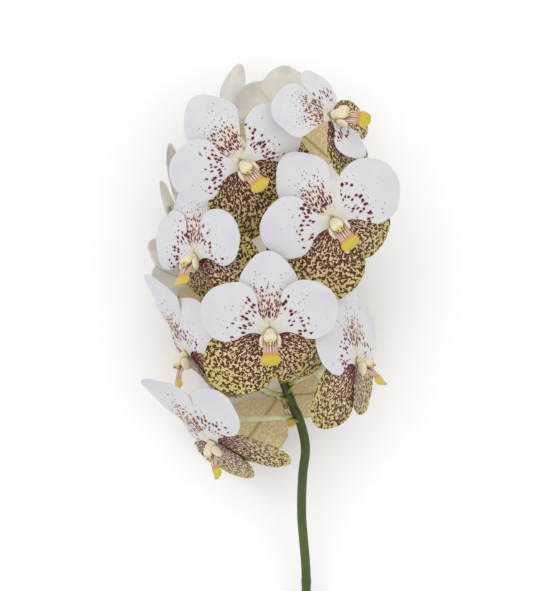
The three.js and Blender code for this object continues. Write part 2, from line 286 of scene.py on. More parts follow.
# The white blades of each flower: a dorsal sepal at the top and two petals, living tissue under 1 mm
# thick with a satin skin. They are broad at the end and narrow to a claw, ripple at their margins, and
# grow from a small disc behind the column.
CLAW_START = 2
BLADE_THICKNESS = 0.9
MARGIN_THICKNESS = 0.45
LEFT_WAVE_PHASE = 2.1
BLADE_ACROSS = 34
BLADE_ALONG = 42
FAN_CENTRE = 8  # how far behind the claw the veins would meet
FAN_RADIUS = 30  # at which the fan map keeps true widths
DORSAL_SEPAL = {
    "length": 52, "width": 38, "outline": (0.24, 0.42, 0.74, 1, 1), "widest": 0.58, "pointed": 0.2,
    "points": 90, "tilt": -4, "bend": -14, "cup": -3, "wave": 0.8, "waves": 1.5, "start": 0, "groove": 0.5,
}
PETAL = {
    "length": 46, "width": 41, "outline": (0.2, 0.34, 0.88, 1, 1), "widest": 0.58, "pointed": 0.08,
    "points": 29, "tilt": 5, "bend": -10, "cup": -2, "wave": 1, "waves": 1.5, "start": 0.5, "groove": 0.3,
}


def share_at(shares, t):
    """A value read from a list of shares at even steps, smoothed between them."""
    place = min(max(t, 0), 1) * (len(shares) - 1)
    i = min(int(place), len(shares) - 2)
    f = place - i
    before, start, end = shares[max(i - 1, 0)], shares[i], shares[i + 1]
    after = shares[min(i + 2, len(shares) - 1)]
    cubic = 3 * (start - end) + after - before
    square = 2 * before - 5 * start + 4 * end - after
    return start + 0.5 * f * (end - before + f * (square + f * cubic))


def blade_point(form, across, along, seed):
    """A blade's point in its flower, from across, -1 to 1, and along, 0 to 1.

    Gives the point, its distance from the midrib and from the claw in the flat blade, and its shares
    of the half width and of the length.
    """
    half = form["width"] / 2
    widest = form["widest"]
    split = 0.42
    if along < split:
        share = along / split * widest
        reach = across * share_at(form["outline"], 0.75 * share / widest)
        flat_share = across
    else:
        q = (along - split) / (1 - split)
        share = widest + (1 - widest) * q * math.sqrt(1 - across * across / 2)
        reach = across * math.sqrt(1 - q * q / 2) * (1 - form["pointed"] * q * q)
        flat_share = reach
    uneven = noise.noise(Vector((across * 1.3 + seed, along * 2.1, seed * 0.37)))
    reach *= 1 + 0.05 * uneven * share
    x = half * reach
    tilt = math.radians(form["tilt"])
    bend = math.radians(form["bend"] or 0.01)
    turned = tilt + bend * share
    arc = form["length"] / bend
    side_phase = LEFT_WAVE_PHASE if across < 0 else 0
    edge = abs(flat_share)
    wave = form["wave"] * math.sin(2 * math.pi * form["waves"] * share + side_phase) * edge**3
    ripple = 0.35 * math.sin(2 * math.pi * 4.3 * share + seed + side_phase) * edge**5
    groove = form["groove"] * math.exp(-((x / 1.5) ** 2)) * (1 - 0.5 * share)
    swell = 0.7 * noise.noise(Vector((x / 14 + seed, share * form["length"] / 14, seed)))
    rise = (form["cup"] * flat_share**2 + wave + ripple + swell * share) * share - groove
    y = CLAW_START + arc * (math.sin(turned) - math.sin(tilt)) - rise * math.sin(turned)
    z = arc * (math.cos(tilt) - math.cos(turned)) + rise * math.cos(turned) + form["start"]
    return Vector((x, y, z)), x, share * form["length"], reach, share


def add_blade(bm, form, change, size, matrix, seed, material_index):
    """Adds one blade's middle surface to a bloom's mesh.

    Its maps are the flat lengths in mm, the same spread like a fan along the veins, and the shares.
    """
    form = {**form, **change}
    form["length"] *= size
    form["width"] *= size
    part = bmesh.new()
    flat = part.loops.layers.uv.new("flat_mm")
    fan = part.loops.layers.uv.new("fan_mm")
    shares = part.loops.layers.uv.new("shares")
    body = part.verts.layers.float.new("body")
    bmesh.ops.create_grid(part, x_segments=BLADE_ACROSS, y_segments=BLADE_ALONG, size=1)
    placed = {}
    for vert in part.verts:
        across, along = vert.co.x, (vert.co.y + 1) / 2
        # rows stand closer together towards the round tip and columns towards the margins
        across = math.sin(across * math.pi / 2) * 0.35 + across * 0.65
        point, x, y, reach, share = blade_point(form, across, along, seed)
        placed[vert] = (x, y, reach, share)
        edge = max(abs(across), 2 * along - 1)
        vert[body] = 1 - (1 - MARGIN_THICKNESS / BLADE_THICKNESS) * max(0, edge) ** 6
        vert.co = point
    offset = Vector((seed * 61, seed * 37))
    for face in part.faces:
        face.material_index = material_index
        for loop in face.loops:
            x, y, reach, share = placed[loop.vert]
            loop[flat].uv = Vector((x, y)) + offset
            angle = math.atan2(x, y + FAN_CENTRE)
            loop[fan].uv = Vector((FAN_RADIUS * angle, math.hypot(x, y + FAN_CENTRE))) + offset
            loop[shares].uv = ((reach + 1) / 2, share)
    turn = Matrix.Rotation(math.radians(form["points"] - 90), 4, "Z")
    bmesh.ops.transform(part, matrix=matrix @ turn, verts=part.verts)
    mesh = bpy.data.meshes.new("blade")
    part.to_mesh(mesh)
    part.free()
    bm.from_mesh(mesh)
    bpy.data.meshes.remove(mesh)


def add_hub(bm, height, matrix, material_index):
    """Adds the small domed disc from which a flower's blades grow."""
    part = bmesh.new()
    bmesh.ops.create_uvsphere(part, u_segments=20, v_segments=10, radius=HUB_RADIUS)
    bmesh.ops.scale(part, vec=(1, 1, 0.14), verts=part.verts)
    bmesh.ops.translate(part, vec=(0, 0, height), verts=part.verts)
    for face in part.faces:
        face.material_index = material_index
    bmesh.ops.transform(part, matrix=matrix, verts=part.verts)
    mesh = bpy.data.meshes.new("hub")
    part.to_mesh(mesh)
    part.free()
    bm.from_mesh(mesh)
    bpy.data.meshes.remove(mesh)


def thicken(piece, back_offset):
    """Gives the blades their thickness, thinner at the margins. The back takes its own material."""
    body = piece.data.attributes["body"].data
    group = piece.vertex_groups.new(name="body")
    for index, entry in enumerate(body):
        group.add([index], entry.value, "REPLACE")
    solid = piece.modifiers.new("thickness", "SOLIDIFY")
    solid.thickness = BLADE_THICKNESS * MM
    solid.offset = 0
    solid.vertex_group = "body"
    solid.material_offset = back_offset


def blade_maps(tree):
    """The flat and the fan lengths in mm, the share of the half width from -1 to 1, and of the length."""
    flat = add(tree, "ShaderNodeUVMap", {"uv_map": "flat_mm"}).outputs[0]
    fan = add(tree, "ShaderNodeUVMap", {"uv_map": "fan_mm"}).outputs[0]
    shares = add(tree, "ShaderNodeUVMap", {"uv_map": "shares"}).outputs[0]
    parts = add(tree, "ShaderNodeSeparateXYZ", inputs={0: shares})
    across = add(tree, MATH, MULTIPLY_ADD, (parts.outputs[0], 2.0, -1.0))
    return flat, fan, across, parts.outputs[1]


def stretched(tree, vector, wide, long, shift=0.0):
    """The flat lengths counted in steps of wide across and long along the blade."""
    inputs = {"Vector": vector, "Scale": (1 / wide, 1 / long, 1), "Location": (shift, shift, 0)}
    return add(tree, "ShaderNodeMapping", inputs=inputs).outputs[0]


def spots(tree, fan, wide, long, radius, share_kept, shift):
    """A mask of separate specks, one in a cell of wide by long, of a radius in cells, and their halos."""
    bent = add(tree, NOISE, FLAT, {
        "Vector": stretched(tree, fan, 1.6, 1.9, shift), "Scale": 1.0, "Detail": 1.0,
    }).outputs["Color"]
    bent = add(tree, "ShaderNodeVectorMath", SUBTRACT, (bent, (0.5, 0.5, 0.5)))
    bent = add(tree, "ShaderNodeVectorMath", {"operation": "SCALE"}, {0: bent, "Scale": 0.5}).outputs[0]
    place = stretched(tree, fan, wide, long, shift)
    place = add(tree, "ShaderNodeVectorMath", {"operation": "ADD"}, {0: place, 1: bent}).outputs[0]
    cells = add(tree, "ShaderNodeTexVoronoi", {"voronoi_dimensions": "2D"}, {
        "Vector": place, "Scale": 1.0, "Randomness": 0.85,
    })
    chance = add(tree, "ShaderNodeSeparateColor", inputs={0: cells.outputs["Color"]})
    kept = add(tree, MATH, LESS_THAN, (chance.outputs[0], share_kept))
    size = add(tree, MATH, MULTIPLY_ADD, (chance.outputs[1], 0.5, 0.68))
    radius = add(tree, MATH, MULTIPLY, (radius, size))
    distance = cells.outputs["Distance"]
    speck = add(tree, "ShaderNodeMapRange", {"interpolation_type": "SMOOTHSTEP"}, {
        "Value": distance, "From Min": add(tree, MATH, MULTIPLY, (radius, 0.75)), "From Max": radius,
        "To Min": 1.0, "To Max": 0.0,
    }).outputs[0]
    halo = add(tree, "ShaderNodeMapRange", {"interpolation_type": "SMOOTHSTEP"}, {
        "Value": distance, "From Min": radius, "From Max": add(tree, MATH, MULTIPLY, (radius, 1.8)),
        "To Min": 1.0, "To Max": 0.0,
    }).outputs[0]
    return add(tree, MATH, MULTIPLY, (speck, kept)), add(tree, MATH, MULTIPLY, (halo, kept))


def veins(tree, across, share, count):
    """Fine lengthwise veins that spread from the claw: 1 on a vein and 0 between."""
    wander = add(tree, NOISE, {"noise_dimensions": "1D"}, {"W": share, "Scale": 6.0})
    turned = add(tree, MATH, MULTIPLY_ADD, (wander, 0.04, across))
    wave = add(tree, MATH, SINE, (add(tree, MATH, MULTIPLY, (turned, count * math.pi)),))
    return add(tree, MAP_RANGE, SMOOTH, (add(tree, MATH, ABSOLUTE, (wave,)), 0.25, 0.0))


def skin(tree, shader, flat, colour, vein, roughness, grain_mm=0.9):
    """The satin skin of a petal: its colour, fine cells in the relief, and raised veins."""
    fill(tree, shader, {"Base Color": colour})
    shader.inputs["Roughness"].default_value = roughness
    shader.inputs["IOR"].default_value = 1.42
    shader.inputs["Specular IOR Level"].default_value = 0.32
    shader.inputs["Sheen Weight"].default_value = 0.12
    shader.inputs["Sheen Roughness"].default_value = 0.5
    shader.inputs["Subsurface Weight"].default_value = 0.25
    shader.inputs["Subsurface Radius"].default_value = (1.0, 0.8, 0.6)
    shader.inputs["Subsurface Scale"].default_value = 0.0012
    cells = add(tree, NOISE, FLAT, {
        "Vector": stretched(tree, flat, grain_mm, grain_mm * 1.6), "Scale": 1.0, "Detail": 3.0,
    }).outputs[0]
    height = add(tree, MATH, MULTIPLY_ADD, (vein, 0.8, cells))
    bump = add(tree, "ShaderNodeBump", inputs={"Height": height, "Strength": 0.35, "Distance": 0.00018})
    fill(tree, shader, {"Normal": bump})


WHITE = linear("#D0D1D2")
# Painted light: the backs of the white blades take a much paler white than their fronts, so that backs lying
# low in shade look as brightly lit as the fronts.
BACK_WHITE_PAINTED_LIGHT = linear("#F8F7F2")
VIOLET_TINGE = linear("#C6C2D2")
CLAW_CREAM = linear("#D6D2B4")
BAND_CREAM = linear("#D6CBB6")
MAROON = linear("#571824")
BROWN = linear("#6B3328")
DOT_GREY = linear("#766472")
HALO = linear("#D3A5A8")


def white_blade(name, marks, band_width, white=WHITE):
    """White living tissue, faintly violet at the tip and greenish at the claw, with maroon marks.

    marks is a list of (wide, long, low, peak, high, radius, kept, spread, colour): cells of wide by long mm,
    between the shares low and high of the length and most at peak, with specks of that radius in cells.
    """
    material, tree, shader = new_material(name)
    flat, fan, across, share = blade_maps(tree)
    vein = veins(tree, across, share, 9)
    out = add(tree, MATH, ABSOLUTE, (across,))
    cloud = add(tree, NOISE, FLAT, {
        "Vector": stretched(tree, flat, 16, 22), "Scale": 1.0, "Detail": 2.0,
    }).outputs[0]
    claw = add(tree, MAP_RANGE, SMOOTH, (share, 0.18, 0.02))
    colour = add(tree, MIX, COLOUR, {0: claw, 6: white, 7: CLAW_CREAM})
    outer = add(tree, MAP_RANGE, SMOOTH, (share, 0.45, 1.0))
    clouded = add(tree, MAP_RANGE, SMOOTH, (cloud, 0.35, 0.7))
    tinge = add(tree, MATH, MULTIPLY, (outer, clouded))
    colour = add(tree, MIX, COLOUR, {0: add(tree, MATH, MULTIPLY, (tinge, 0.55)), 6: colour, 7: VIOLET_TINGE})
    faint = add(tree, MATH, MULTIPLY, (vein, 0.10))
    colour = add(tree, MIX, COLOUR, {0: faint, 6: colour, 7: linear("#B9B4C4")})
    if band_width:
        low_part = add(tree, MAP_RANGE, SMOOTH, (share, 0.55, 0.3))
        middle = add(tree, MAP_RANGE, SMOOTH, (out, band_width, 0.2))
        band = add(tree, MATH, MULTIPLY, (low_part, middle))
        band = add(tree, MATH, MULTIPLY, (band, 0.85))
        colour = add(tree, MIX, COLOUR, {0: band, 6: colour, 7: BAND_CREAM})
    for number, (wide, long, low, peak, high, radius, kept, spread, mark) in enumerate(marks):
        begins = add(tree, MAP_RANGE, SMOOTH, (share, low, (low + peak) / 2))
        ends = add(tree, MAP_RANGE, SMOOTH, (share, high, peak))
        band = add(tree, MATH, MULTIPLY, (begins, ends))
        band = add(tree, MATH, MULTIPLY, (band, add(tree, MAP_RANGE, SMOOTH, (out, spread, spread * 0.6))))
        size = add(tree, MATH, MULTIPLY, (add(tree, MATH, MULTIPLY_ADD, (band, 0.4, 0.6)), radius))
        chance = add(tree, MATH, MULTIPLY, (band, kept))
        speck, halo = spots(tree, fan, wide, long, size, chance, 7.3 * number)
        colour = add(tree, MIX, COLOUR, {0: add(tree, MATH, MULTIPLY, (halo, 0.4)), 6: colour, 7: HALO})
        colour = add(tree, MIX, COLOUR, {0: speck, 6: colour, 7: mark})
    skin(tree, shader, flat, colour, vein, 0.5)
    return material


# Each row: cell width and length in mm, the shares of the length where the marks begin, peak and end,
# their radius in cells, the share of cells kept, how far out across the blade they reach, and their colour.
DORSAL_MARKS = (
    (1.9, 2.2, 0.36, 0.52, 0.84, 0.22, 0.7, 0.8, DOT_GREY),
    (1.8, 2.9, 0.22, 0.4, 0.6, 0.4, 0.85, 0.6, BROWN),
    (1.6, 3.0, 0.1, 0.22, 0.42, 0.52, 1.0, 0.6, MAROON),
)
PETAL_MARKS = (
    (2.4, 2.6, 0.34, 0.5, 0.8, 0.15, 0.25, 1.0, DOT_GREY),
    (3.1, 3.9, 0.17, 0.36, 0.58, 0.4, 0.8, 0.95, MAROON),
)
dorsal_front = white_blade("dorsal_sepal_skin", DORSAL_MARKS, 0.75)
petal_front = white_blade("petal_skin", PETAL_MARKS, 0)
# The backs of the white blades: the same tissue as the fronts, with painted light in a much paler white.
white_back_painted_light = white_blade("petal_back_skin_painted_light", (), 0, BACK_WHITE_PAINTED_LIGHT)

for index, bloom in enumerate(BLOOMS):
    name = bloom_name(index)
    matrix = bloom_matrix(bloom)
    bm = bmesh.new()
    seed = index * 3
    add_hub(bm, 0, matrix, 1)
    add_blade(bm, DORSAL_SEPAL, bloom.get("dorsal", {}), bloom["size"], matrix, seed, 0)
    left = {"points": 180 - PETAL["points"], **bloom.get("left", {})}
    add_blade(bm, PETAL, left, bloom["size"], matrix, seed + 1, 1)
    add_blade(bm, PETAL, bloom.get("right", {}), bloom["size"], matrix, seed + 2, 1)
    skins = (dorsal_front, petal_front, white_back_painted_light, white_back_painted_light)
    piece = finished_piece(name + "_white_blades", bm, skins, name + "_petals")
    thicken(piece, 2)


# The two lateral sepals of each flower, the lowest and broadest blades: the same tissue as the petals,
# cream to yellow-green with a pale rim, and so densely mottled with maroon that they look brown from
# afar. Their backs are tan and olive, with only a shadow of the pattern.
LATERAL_SEPAL = {
    "length": 46, "width": 47, "outline": (0.18, 0.6, 0.93, 1, 1), "widest": 0.52, "pointed": 0.08,
    "points": -44, "tilt": -6, "bend": 2, "cup": 1, "wave": 1.2, "waves": 1.5, "start": BACK_PLANE,
    "groove": 0.6,
}
SEPAL_CREAM = linear("#D9C49E")
SEPAL_YELLOW = linear("#C6B570")
SEPAL_RIM = linear("#BDB85E")
BLOTCH = linear("#56261E")
BLOTCH_OUTER = linear("#4C3212")
BLOTCH_BASE = linear("#6A1830")
SEPAL_BACK = linear("#F0E2B8")
SEPAL_BACK_MARK = linear("#C49C80")
MIDRIB_BACK = linear("#B0B45E")


def mottle(tree, flat, wide, long, cover, shift):
    """Short irregular dashes that join up where cover is high, as a mask."""
    place = stretched(tree, flat, wide, long, shift)
    field = add(tree, NOISE, FLAT, {
        "Vector": place, "Scale": 1.0, "Detail": 1.0, "Roughness": 0.45, "Distortion": 0.6,
    }).outputs[0]
    cells = add(tree, "ShaderNodeTexVoronoi", {"voronoi_dimensions": "2D"}, {"Vector": place, "Scale": 0.9})
    field = add(tree, MATH, MULTIPLY_ADD, (cells.outputs["Distance"], -0.28, field))
    level = add(tree, MATH, MULTIPLY_ADD, (cover, -0.32, 0.52))
    soft = add(tree, MATH, SUBTRACT, (level, 0.035))
    return add(tree, "ShaderNodeMapRange", {"interpolation_type": "SMOOTHSTEP"}, {
        "Value": field, "From Min": soft, "From Max": level, "To Min": 0.0, "To Max": 1.0,
    }).outputs[0]


def mottled_sepal(name, back):
    material, tree, shader = new_material(name)
    flat, fan, across, share = blade_maps(tree)
    vein = veins(tree, across, share, 11)
    out = add(tree, MATH, ABSOLUTE, (across,))
    side_rim = add(tree, MAP_RANGE, SMOOTH, (out, 0.86, 0.98))
    end_rim = add(tree, MAP_RANGE, SMOOTH, (share, 0.94, 0.99))
    rim = add(tree, MATH, MAXIMUM, (side_rim, end_rim))
    outward = add(tree, MAP_RANGE, SMOOTH, (share, 0.35, 0.95))
    sideways = add(tree, MAP_RANGE, SMOOTH, (out, 0.45, 0.95))
    outer = add(tree, MATH, MAXIMUM, (outward, sideways))
    ground = add(tree, MIX, COLOUR, {0: outer, 6: SEPAL_CREAM, 7: SEPAL_YELLOW})
    ground = add(tree, MIX, COLOUR, {0: add(tree, MATH, MULTIPLY, (rim, 0.7)), 6: ground, 7: SEPAL_RIM})
    base = add(tree, MAP_RANGE, SMOOTH, (share, 0.28, 0.06))
    cover = add(tree, MAP_RANGE, SMOOTH, (share, 0.95, 0.15, 0.36, 0.62))
    cover = add(tree, MATH, MULTIPLY_ADD, (base, 0.35, cover))
    cover = add(tree, MATH, SUBTRACT, (cover, add(tree, MATH, MULTIPLY, (rim, 0.25))))
    marks = mottle(tree, fan, 1.3, 1.9, cover, 3.1)
    blotch = add(tree, MIX, COLOUR, {0: outer, 6: BLOTCH, 7: BLOTCH_OUTER})
    blotch = add(tree, MIX, COLOUR, {0: base, 6: blotch, 7: BLOTCH_BASE})
    if back:
        midrib = add(tree, MAP_RANGE, SMOOTH, (out, 0.08, 0.0))
        ground = add(tree, MIX, COLOUR, {0: midrib, 6: SEPAL_BACK, 7: MIDRIB_BACK})
        ground = add(tree, MIX, COLOUR, {0: add(tree, MATH, MULTIPLY, (rim, 0.5)), 6: ground, 7: SEPAL_RIM})
        faint = add(tree, MATH, MULTIPLY, (marks, 0.4))
        colour = add(tree, MIX, COLOUR, {0: faint, 6: ground, 7: SEPAL_BACK_MARK})
    else:
        faint = add(tree, MATH, MULTIPLY, (vein, 0.12))
        colour = add(tree, MIX, COLOUR, {0: faint, 6: ground, 7: linear("#B09A5A")})
        colour = add(tree, MIX, COLOUR, {0: marks, 6: colour, 7: blotch})
    skin(tree, shader, flat, colour, vein, 0.52)
    return material


sepal_front = mottled_sepal("lateral_sepal_skin", back=False)
sepal_back = mottled_sepal("lateral_sepal_back_skin", back=True)

for index, bloom in enumerate(BLOOMS):
    name = bloom_name(index)
    matrix = bloom_matrix(bloom)
    bm = bmesh.new()
    seed = 50 + index * 2
    add_hub(bm, BACK_PLANE, matrix, 0)
    left = {"points": 180 - LATERAL_SEPAL["points"], **bloom.get("low_left", {})}
    add_blade(bm, LATERAL_SEPAL, left, bloom["size"], matrix, seed, 0)
    add_blade(bm, LATERAL_SEPAL, bloom.get("low_right", {}), bloom["size"], matrix, seed + 1, 0)
    skins = (sepal_front, sepal_back)
    piece = finished_piece(
        name + "_mottled_blades", bm, skins, name + "_lateral_sepals"
    )
    thicken(piece, 1)


# The lip and the column at the heart of each flower, waxy and fleshy. The column is a short cream post
# with a yellow pollen cap. Below it the lip stands out like a tongue, cream with violet stripes and
# flared to a yellow end, between two upright side lobes, with a short spur behind.
COLUMN_LINE = ((0, -0.5, 1.4), (0, -0.6, 5), (0, -2, 9), (0, -4.2, 11))
COLUMN_GIRTH = ((3, 3), (3.6, 2.8), (4.3, 2.9), (3, 2))
LIP_LINE = ((0, -3.2, 2.1), (0, -5.2, 6), (0, -8.4, 11), (0, -12.5, 14.5), (0, -16, 17.5), (0, -17, 20))
LIP_HALF_WIDTHS = (3.0, 4.8, 4.6, 5.0, 6.6, 5.4)
LIP_THICKNESS = 2.0
SIDE_LOBE = {"at": (4.4, -4.8, 6), "size": (1.5, 3.6, 3.4)}
SPUR_LINE = ((0, -5.5, 5.5), (0, -8.5, 3.8), (0, -9.6, 2.2))
SPUR_GIRTH = ((2.4, 2.4), (1.8, 1.8), (0.9, 0.9))


def smooth_line(points, steps=16):
    """A smooth line through points, as (distance, point) pairs close together."""
    points = [Vector(p) for p in points]
    ends = [2 * points[0] - points[1], *points, 2 * points[-1] - points[-2]]
    dense = []
    for i in range(1, len(ends) - 2):
        a, b, c, d = ends[i - 1 : i + 3]
        gaps = [max((q - p).length ** 0.5, 1e-4) for p, q in ((a, b), (b, c), (c, d))]
        leave = ((b - a) / gaps[0] - (c - a) / (gaps[0] + gaps[1]) + (c - b) / gaps[1]) * gaps[1]
        arrive = ((c - b) / gaps[1] - (d - b) / (gaps[1] + gaps[2]) + (d - c) / gaps[2]) * gaps[1]
        for step in range(steps):
            t = step / steps
            keep = 2 * t**3 - 3 * t**2 + 1
            dense.append(keep * b + (t**3 - 2 * t**2 + t) * leave + (1 - keep) * c + (t**3 - t**2) * arrive)
    dense.append(points[-1])
    run = [0.0]
    for p, q in zip(dense, dense[1:]):
        run.append(run[-1] + (q - p).length)
    return list(zip(run, dense))


def on_line(line, share):
    """The point at a share of the line's length, and the line's direction there."""
    target = min(max(share, 0), 1) * line[-1][0]
    for (run, p), (next_run, q) in zip(line, line[1:]):
        if next_run >= target:
            break
    part = (target - run) / max(next_run - run, 1e-9)
    return p.lerp(q, part), (q - p).normalized()


def rod(line, girth, sides, rings, sideways, material_index=0):
    """A closed rod along a line: a cylinder cut into rings, each moved to its place and girth."""
    part = bmesh.new()
    shares = part.loops.layers.uv.new("shares")
    flat = part.loops.layers.uv.new("flat_mm")
    bmesh.ops.create_cone(part, cap_ends=True, segments=sides, radius1=1, radius2=1, depth=1)
    upright = [e for e in part.edges if abs(e.verts[0].co.z - e.verts[1].co.z) > 0.5]
    bmesh.ops.subdivide_edges(part, edges=upright, cuts=rings - 1)
    placed = {}
    for vert in part.verts:
        share = vert.co.z + 0.5
        angle = math.atan2(vert.co.y, vert.co.x)
        wide, deep = girth(share, angle)
        point, along = on_line(line, share)
        over = sideways.cross(along).normalized()
        side = along.cross(over)
        placed[vert] = (angle / (2 * math.pi) + 0.5, share)
        vert.co = point + side * (math.cos(angle) * wide) + over * (math.sin(angle) * deep)
    for face in part.faces:
        face.material_index = material_index
        for loop in face.loops:
            turn, share = placed[loop.vert]
            loop[shares].uv = (turn, share)
            loop[flat].uv = (turn * 2 * math.pi * girth(0.5, 0)[0], share * line[-1][0])
    bmesh.ops.recalc_face_normals(part, faces=part.faces)
    return part


def rounded(share, end=0.16):
    """A factor that rounds a rod's girth off to nothing at its far end."""
    past = (share - (1 - end)) / end
    return math.sqrt(max(1 - past * past, 0.0004)) if past > 0 else 1


def joined(bm, part):
    mesh = bpy.data.meshes.new("part")
    part.to_mesh(mesh)
    part.free()
    bm.from_mesh(mesh)
    bpy.data.meshes.remove(mesh)


def lip_and_column():
    """One flower's lip and column, as a mesh in the flower's own frame."""
    right = Vector((1, 0, 0))
    bm = bmesh.new()

    def girth(list_of_pairs):
        def read(share, angle):
            wide = share_at([pair[0] for pair in list_of_pairs], share)
            deep = share_at([pair[1] for pair in list_of_pairs], share)
            return wide * rounded(share), deep * rounded(share)
        return read

    joined(bm, rod(smooth_line(COLUMN_LINE), girth(COLUMN_GIRTH), 22, 18, right, 0))
    joined(bm, rod(smooth_line(SPUR_LINE), girth(SPUR_GIRTH), 16, 10, right, 0))

    # the tongue: channelled between three keels near the column, flared and turned down at its end
    def tongue_girth(share, angle):
        wide = share_at(LIP_HALF_WIDTHS, share) * rounded(share, 0.12)
        deep = LIP_THICKNESS / 2 * (1.25 - 0.75 * share) * rounded(share, 0.12)
        front = math.sin(angle) < 0
        keel = 0.55 * math.cos(3 * math.pi * math.cos(angle)) * (1 - share) if front else 0
        return wide, deep * (1 + keel)

    tongue = rod(smooth_line(LIP_LINE), tongue_girth, 40, 44, right, 1)
    for vert in tongue.verts:
        flare = max(0, (-vert.co.y - 12) / 5)
        vert.co.z -= 0.055 * vert.co.x**2 * flare
        vert.co.y += 0.02 * vert.co.x**2 * flare
        notch = math.exp(-((vert.co.x / 1.6) ** 2)) * max(0, (-vert.co.y - 14.5) / 3)
        vert.co.z -= 0.9 * notch
    joined(bm, tongue)

    for side in (1, -1):
        lobe = bmesh.new()
        lobe.loops.layers.uv.new("shares")
        lobe.loops.layers.uv.new("flat_mm")
        bmesh.ops.create_uvsphere(lobe, u_segments=20, v_segments=14, radius=1)
        wide, tall, deep = SIDE_LOBE["size"]
        for vert in lobe.verts:
            x, y, z = vert.co
            # an upright ear that curls inwards over the lip at its top
            vert.co = Vector((x * wide * 1.1 + 0.9 + 0.7 * z, y * tall * 1.15, z * deep * (1 + 0.12 * y)))
            vert.co = Vector((side * (vert.co.x + SIDE_LOBE["at"][0]), vert.co.y + SIDE_LOBE["at"][1],
                              vert.co.z + SIDE_LOBE["at"][2]))
        for face in lobe.faces:
            face.material_index = 0
        bmesh.ops.recalc_face_normals(lobe, faces=lobe.faces)
        joined(bm, lobe)

    # the pollen cap on the column's end, and the two brown marks on it
    caps = [((0, -3.4, 10.9), (2.6, 2.2, 1.9), 2)]
    caps += [((side * 1.2, -3.6, 12.4), (0.5, 0.7, 0.5), 3) for side in (1, -1)]
    for at, size, material_index in caps:
        cap = bmesh.new()
        cap.loops.layers.uv.new("shares")
        cap.loops.layers.uv.new("flat_mm")
        bmesh.ops.create_uvsphere(cap, u_segments=18, v_segments=12, radius=1)
        bmesh.ops.scale(cap, vec=size, verts=cap.verts)
        bmesh.ops.translate(cap, vec=at, verts=cap.verts)
        for face in cap.faces:
            face.material_index = material_index
        joined(bm, cap)
    mesh = bpy.data.meshes.new("lip_and_column")
    bm.to_mesh(mesh)
    bm.free()
    return mesh


def waxy(name, colour, roughness=0.38):
    """Fleshy waxy tissue of one colour, a little clouded."""
    material, tree, shader = new_material(name)
    place = add(tree, "ShaderNodeTexCoord").outputs["Object"]
    cloud = add(tree, NOISE, inputs={"Vector": place, "Scale": 500.0, "Detail": 2.0})
    dark = tuple(c * 0.82 for c in colour[:3]) + (1,)
    fill(tree, shader, {"Base Color": add(tree, MIX, COLOUR, {0: cloud, 6: dark, 7: colour})})
    shader.inputs["Roughness"].default_value = roughness
    shader.inputs["IOR"].default_value = 1.45
    shader.inputs["Subsurface Weight"].default_value = 0.2
    shader.inputs["Subsurface Radius"].default_value = (1.0, 0.7, 0.4)
    shader.inputs["Subsurface Scale"].default_value = 0.0015
    return material


def tongue_skin():
    """The lip's tissue: cream, striped violet on its face, orange in its throat and yellow at its end."""
    material, tree, shader = new_material("lip_skin")
    shares = add(tree, "ShaderNodeUVMap", {"uv_map": "shares"}).outputs[0]
    parts = add(tree, "ShaderNodeSeparateXYZ", inputs={0: shares})
    turn, share = parts.outputs[0], parts.outputs[1]
    stripes = add(tree, MATH, SINE, (add(tree, MATH, MULTIPLY, (turn, 2 * math.pi * 15)),))
    stripes = add(tree, MAP_RANGE, SMOOTH, (stripes, 0.1, 0.6))
    begins = add(tree, MAP_RANGE, SMOOTH, (share, 0.12, 0.3))
    ends = add(tree, MAP_RANGE, SMOOTH, (share, 0.66, 0.52))
    band = add(tree, MATH, MULTIPLY, (begins, ends))
    throat = add(tree, MAP_RANGE, SMOOTH, (share, 0.5, 0.62))
    colour = add(tree, MIX, COLOUR, {0: throat, 6: linear("#D8C4A2"), 7: linear("#C48E44")})
    end = add(tree, MAP_RANGE, SMOOTH, (share, 0.6, 0.72))
    colour = add(tree, MIX, COLOUR, {0: end, 6: colour, 7: linear("#C6AE34")})
    edge = add(tree, MAP_RANGE, SMOOTH, (share, 0.84, 1.0))
    colour = add(tree, MIX, COLOUR, {0: edge, 6: colour, 7: linear("#B0AE36")})
    striped = add(tree, MATH, MULTIPLY, (stripes, band))
    colour = add(tree, MIX, COLOUR, {0: striped, 6: colour, 7: linear("#8E4A78")})
    fill(tree, shader, {"Base Color": colour})
    shader.inputs["Roughness"].default_value = 0.36
    shader.inputs["IOR"].default_value = 1.45
    shader.inputs["Subsurface Weight"].default_value = 0.2
    shader.inputs["Subsurface Radius"].default_value = (1.0, 0.7, 0.3)
    shader.inputs["Subsurface Scale"].default_value = 0.0015
    return material


heart_skins = (
    waxy("column_wax", linear("#E6DCBC")),
    tongue_skin(),
    waxy("pollen_cap_wax", linear("#DCC878"), 0.3),
    waxy("pollen_mark", linear("#4A2A14"), 0.4),
)
heart = lip_and_column()
for index, bloom in enumerate(BLOOMS):
    name = bloom_name(index)
    turn = Matrix.Rotation(math.radians(bloom.get("lip_turn", 0)), 4, "Z")
    bm = bmesh.new()
    bm.from_mesh(heart)
    bmesh.ops.transform(bm, matrix=bloom_matrix(bloom) @ turn, verts=bm.verts)
    finished_piece(name + "_heart", bm, heart_skins, name + "_lip_and_column")
bpy.data.meshes.remove(heart)


